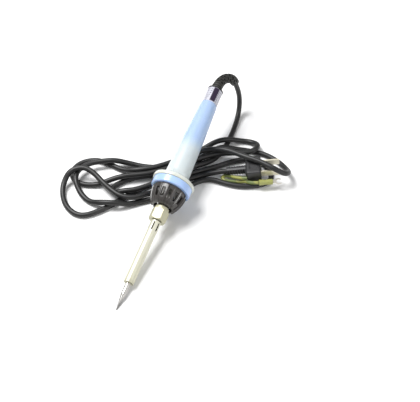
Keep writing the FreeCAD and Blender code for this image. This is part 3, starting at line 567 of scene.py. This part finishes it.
BOOT_FOOT = (TIP_AT + AXIS * (CAP_BACK + 0.02) * MM) / MM
lead_start = Vector(LEAD_ROUTE[0])
into_lead = (Vector(LEAD_ROUTE[1]) - lead_start).normalized()
BOOT_STRAIGHT = 13
BOOT_LAST = 8
boot_line = route("boot_line", [BOOT_FOOT, BOOT_FOOT + AXIS * BOOT_STRAIGHT,
                                lead_start - into_lead * BOOT_LAST, lead_start], 0, steps=24)
BOOT_LENGTH = boot_line.data.splines[0].calc_length() / MM
BOOT_RADIUS = 5.1
BOOT_END_RADIUS = 4.3
TIER = 2.5
BRIDGE = 0.9
FIRST_TIER = 7.0
SLOT_FACES = 8


def boot_radius(station):
    return BOOT_RADIUS + (BOOT_END_RADIUS - BOOT_RADIUS) * station / BOOT_LENGTH


GROOVE_RADIUS = BOOT_RADIUS - 0.7
boot_rings = [(0.0, BOOT_RADIUS - 0.2), (0.2, BOOT_RADIUS), (1.8, BOOT_RADIUS), (2.1, GROOVE_RADIUS),
              (2.9, GROOVE_RADIUS), (3.2, BOOT_RADIUS), (4.4, BOOT_RADIUS), (4.7, GROOVE_RADIUS),
              (5.5, GROOVE_RADIUS), (5.8, boot_radius(5.8))]
tier_fronts = []
station = FIRST_TIER
while station + TIER < BOOT_LENGTH - 1.2:
    tier_fronts.append(station)
    boot_rings += [(station, boot_radius(station)), (station + TIER - BRIDGE, boot_radius(station))]
    station += TIER
boot_rings += [(BOOT_LENGTH - 0.4, boot_radius(BOOT_LENGTH)), (BOOT_LENGTH, BOOT_END_RADIUS - 0.35),
               (BOOT_LENGTH, 2.6)]
boot = turned("strain_relief_boot", boot_rings, 6 * SLOT_FACES)


def boot_slot(spot):
    """Whether a face belongs to a slot: six to a tier, each tier's turned by half a step."""
    for count, front in enumerate(tier_fronts):
        if front + 0.1 < spot.z < front + TIER - BRIDGE - 0.1 and spot.xy.length > 3:
            step = 360 / (6 * SLOT_FACES)
            column = int((turn_of(spot) // step + (SLOT_FACES // 2) * (count % 2)) % SLOT_FACES)
            return column < SLOT_FACES - 2
    return False


set_in(boot, boot_slot, 0.12, -1.3)
boot.data.materials.clear()
modify(boot, "CURVE", object=boot_line, deform_axis="POS_Z")
bpy.data.objects.remove(boot_line)
laid(boot, Matrix(), boot_vinyl, "strain_relief")

# ---------------------------------------------------------------- plug

PLUG_REAR = Vector(LEAD_ROUTE[-1]) * MM
ALONG_PLUG = (Matrix.Translation(PLUG_REAR) @ Matrix.Rotation(math.radians(20), 4, "Z")
              @ Matrix.Rotation(math.radians(81), 4, "Y"))
RELIEF_LENGTH = 18.0
PLUG_FRONT = 32.0
relief_rings = [(0.02, 2.9), (0.5, 3.3)]
COMB_STEP = 2.4
for tooth in range(7):
    front = 0.9 + tooth * COMB_STEP
    radius = 3.3 + 0.5 * front / RELIEF_LENGTH
    relief_rings += [(front, radius), (front + COMB_STEP - 1.1, radius)]
relief_rings.append((RELIEF_LENGTH, 3.8))
relief = turned("plug_relief", relief_rings, 48)


def comb_slot(spot):
    """Whether a face belongs to a slot of the comb: one in each step, on both sides."""
    past = (spot.z - 0.9) % COMB_STEP
    on_side = abs(math.sin(math.radians(turn_of(spot)))) > 0.45
    return 0.05 < past < COMB_STEP - 1.15 and 1.0 < spot.z < 17.5 and spot.xy.length > 2.5 and on_side


set_in(relief, comb_slot, 0.1, -1.5)
deselected()
relief.select_set(True)
relief.scale = (1, 1.16, 1)
bpy.context.view_layer.objects.active = relief
bpy.ops.object.transform_apply(location=True, rotation=True, scale=True)
laid(relief, ALONG_PLUG, plug_vinyl, "plug_strain_relief")

PLUG_HALF_WIDE = 10.5
PLUG_HALF_THICK = 6.5


def thumb_hollow(spot):
    """Whether a face belongs to the shallow hollow on each broad side."""
    return abs(abs(spot.x) - PLUG_HALF_THICK) < 0.6 and abs(spot.y) < 6 and 22 < spot.z < 30


deselected()
bpy.ops.mesh.primitive_cube_add(size=2, location=(0, 0, (RELIEF_LENGTH + PLUG_FRONT) / 2 * MM))
plug = bpy.context.object
plug.name = plug.data.name = "plug_shell"
plug.scale = (PLUG_HALF_THICK * MM, PLUG_HALF_WIDE * MM, (PLUG_FRONT - RELIEF_LENGTH) / 2 * MM)
bpy.ops.object.transform_apply(location=True, rotation=True, scale=True)
bpy.ops.object.mode_set(mode="EDIT")
bpy.ops.mesh.subdivide(number_cuts=7)
pick(plug, lambda spot: spot.z < RELIEF_LENGTH + 0.1)
bpy.ops.transform.resize(value=(0.80, 0.74, 1), center_override=(0, 0, RELIEF_LENGTH * MM))
bpy.ops.object.mode_set(mode="OBJECT")
set_in(plug, thumb_hollow, 0.5, -0.5)
modify(plug, "BEVEL", width=2.2 * MM, segments=4, limit_method="ANGLE", angle_limit=math.radians(50))
laid(plug, ALONG_PLUG, plug_vinyl, "plug_body", 40)

# ---------------------------------------------------------------- earth terminal

SLEEVE_LENGTH = 13.0
EARTH_END = Vector(EARTH_ROUTE[-1]) * MM
ALONG_TERMINAL = (Matrix.Translation(EARTH_END) @ Matrix.Rotation(math.radians(27), 4, "Z")
                  @ Matrix.Rotation(math.radians(91), 4, "Y"))
sleeve = turned("terminal_sleeve", [
    (0.3, 1.7), (0.3, 2.45), (0.6, 2.7), (4.2, 2.6), (5.4, 2.35), (6.6, 2.3), (7.8, 2.35), (9.0, 2.55),
    (12.4, 2.6), (12.85, 2.45), (SLEEVE_LENGTH, 2.1), (SLEEVE_LENGTH, 1.2)], 48)
laid(sleeve, ALONG_TERMINAL, terminal_vinyl, "earth_terminal_sleeve")

FORK_RADIUS = 3.5
FORK_THICK = 0.8
FORK_EYE = SLEEVE_LENGTH + 5.5


def block(name, low, high):
    """A plain block between two corners, in millimetres."""
    deselected()
    middle = (Vector(low) + Vector(high)) / 2 * MM
    bpy.ops.mesh.primitive_cube_add(size=1, location=middle)
    piece = bpy.context.object
    piece.name = name
    piece.scale = (Vector(high) - Vector(low)) * MM
    bpy.ops.object.transform_apply(location=True, rotation=True, scale=True)
    return piece


deselected()
bpy.ops.mesh.primitive_cylinder_add(vertices=64, radius=FORK_RADIUS * MM, depth=FORK_THICK * MM,
                                    location=(0, 0, FORK_EYE * MM), rotation=(0, math.pi / 2, 0))
fork = bpy.context.object
fork.name = fork.data.name = "terminal_fork"
bpy.ops.object.transform_apply(location=True, rotation=True, scale=True)
shank = block("fork_shank", (-FORK_THICK / 2, -2.0, SLEEVE_LENGTH), (FORK_THICK / 2, 2.0, FORK_EYE - 1))
gap = block("fork_gap", (-1, -2.15, FORK_EYE), (1, 2.15, FORK_EYE + 6))
deselected()
bpy.ops.mesh.primitive_cylinder_add(vertices=48, radius=2.15 * MM, depth=2 * MM,
                                    location=(0, 0, FORK_EYE * MM), rotation=(0, math.pi / 2, 0))
eye = bpy.context.object
for operation, other in (("UNION", shank), ("DIFFERENCE", gap), ("DIFFERENCE", eye)):
    modify(fork, "BOOLEAN", operation=operation, object=other, solver="EXACT")
    bpy.data.objects.remove(other)
modify(fork, "BEVEL", width=0.12 * MM, segments=2, limit_method="ANGLE", angle_limit=math.radians(50))
laid(fork, ALONG_TERMINAL, fork_tin, "earth_fork")

# ---------------------------------------------------------------- vented collar

COLLAR_FRONT_RADIUS = 8.8
VENTS = 14
COLUMNS = 8
VENT_FRONT = COLLAR_FRONT + 5.2
VENT_BACK = VENT_FRONT + 8.0


def collar_radius(station):
    """Radius of the collar's domed outside."""
    share = (station - COLLAR_FRONT) / (COLLAR_BACK - COLLAR_FRONT)
    fullness = math.sin(share * math.pi / 2) ** 0.55
    return COLLAR_FRONT_RADIUS + (COLLAR_BACK_RADIUS - COLLAR_FRONT_RADIUS) * fullness


COLLAR_STEPS = [COLLAR_FRONT, COLLAR_FRONT + 0.5, COLLAR_FRONT + 2.4, VENT_FRONT, VENT_FRONT + 2.7,
                VENT_FRONT + 5.4, VENT_BACK, COLLAR_BACK - 2.4, COLLAR_BACK - 0.5, COLLAR_BACK]
collar_rings = [(station, collar_radius(station)) for station in COLLAR_STEPS]
collar_rings[0] = (COLLAR_FRONT, COLLAR_FRONT_RADIUS - 0.4)
collar = turned("collar_shell", collar_rings, VENTS * COLUMNS)


def column_of(spot):
    return int(turn_of(spot) // (360 / (VENTS * COLUMNS))) % COLUMNS


def opened(spot):
    """Whether a face is cut away: the vents and the flat ends."""
    return VENT_FRONT < spot.z < VENT_BACK and column_of(spot) < 4 or spot.xy.length < 1


def ribbed(spot):
    """Whether a face belongs to a rib, halfway between two vents."""
    return column_of(spot) in (5, 6) and COLLAR_FRONT + 0.5 < spot.z < COLLAR_BACK - 0.5


pick(collar, opened)
bpy.ops.mesh.delete(type="FACE")
bpy.ops.object.mode_set(mode="OBJECT")
set_in(collar, ribbed, 0.2, 0.9)
modify(collar, "SOLIDIFY", thickness=1.9 * MM, offset=-1)
modify(collar, "BEVEL", width=0.14 * MM, segments=2, limit_method="ANGLE", angle_limit=math.radians(40))
laid(collar, ALONG_IRON, collar_resin, "vented_collar")

# ---------------------------------------------------------------- riding and cords

MAINS_NODES = ["mains_lead_%d" % count for count in range(1, 7)]
for lead, node_names, slot in ((mains_lead, MAINS_NODES, "lead_jacket"),
                               (earth_lead, ["earth_lead"], "earth_jacket")):
    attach(lead, "root")
    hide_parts(*node_names)

# ---------------------------------------------------------------- bench and light

bpy.ops.mesh.primitive_plane_add(size=6)
bench = bpy.context.object
bench.name = "bench"
bench_white = Finish("bench_white", (0.92, 0.92, 0.92), 0.75)
uneven = bench_white.noise(9, 3)
bench_white.set("Base Color", bench_white.blend(uneven, (0.91, 0.91, 0.91), (0.93, 0.93, 0.93)))
bench.data.materials.append(bench_white.material)

sky = bpy.data.worlds.new("studio")
bpy.context.scene.world = sky
sky.use_nodes = True
sky_light = sky.node_tree.nodes["Background"]
sky_light.inputs["Color"].default_value = (1, 1, 1, 1)
sky_light.inputs["Strength"].default_value = 0.25


def softbox(name, spot, size, power):
    """A square lamp aimed at the iron."""
    bpy.ops.object.light_add(type="AREA", location=spot)
    lamp = bpy.context.object
    lamp.name = name
    lamp.data.size = size
    lamp.data.energy = power
    lamp.rotation_euler = (LOOK_AT - Vector(spot)).to_track_quat("-Z", "Y").to_euler()


softbox("key_lamp", (-0.52, 0.06, 1.05), 0.55, 18.5)
softbox("fill_lamp", (0.80, -0.20, 0.60), 0.9, 4.5)
bpy.context.scene.view_settings.view_transform = "Standard"
